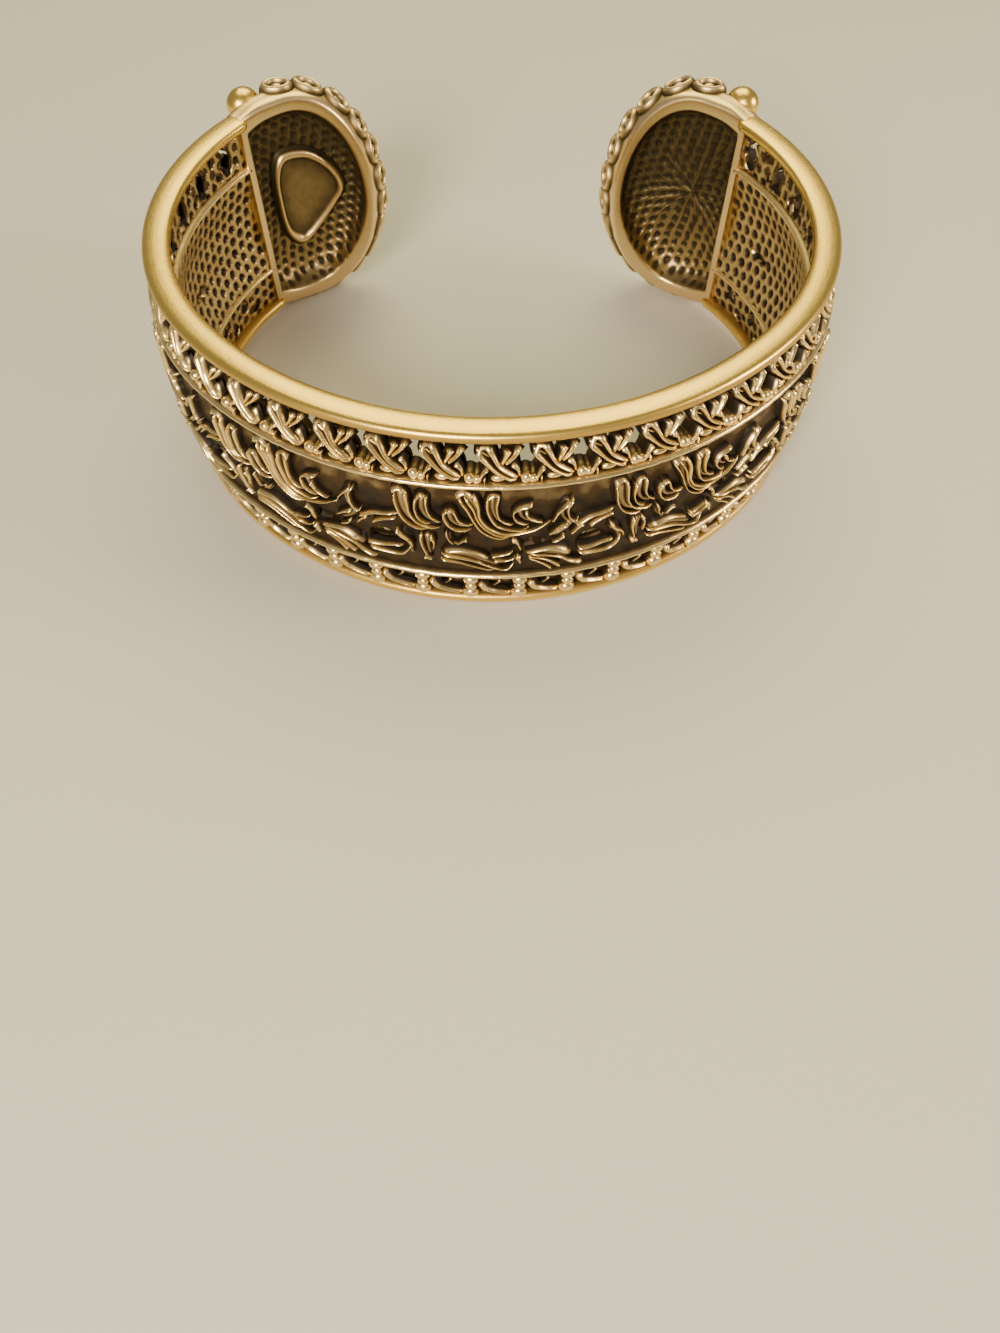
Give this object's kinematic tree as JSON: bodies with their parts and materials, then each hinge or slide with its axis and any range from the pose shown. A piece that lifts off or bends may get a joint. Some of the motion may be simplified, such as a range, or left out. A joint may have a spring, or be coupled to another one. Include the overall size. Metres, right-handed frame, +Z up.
{
  "type": "cuff bracelet",
  "caption": "Open cuff bracelet cast in gold-tone metal, with pierced leaf borders, a raised acanthus scroll between two ribs, and domed cartouche ends.",
  "frame": {"origin": "middle of the bounding box's base, on the surface that the cuff lies on", "axes": "+X across the cuff's width, +Y from the front of the band to the gap between its ends, +Z up, the way the wrist runs through it"},
  "size_m": [0.0688, 0.0546, 0.0259],
  "materials": {
    "antique_gold": "cast, satin polished on the rims, with dark patina in the recesses"
  },
  "bodies": {
    "root": {"cuff": "antique_gold"}
  },
  "joints": []
}
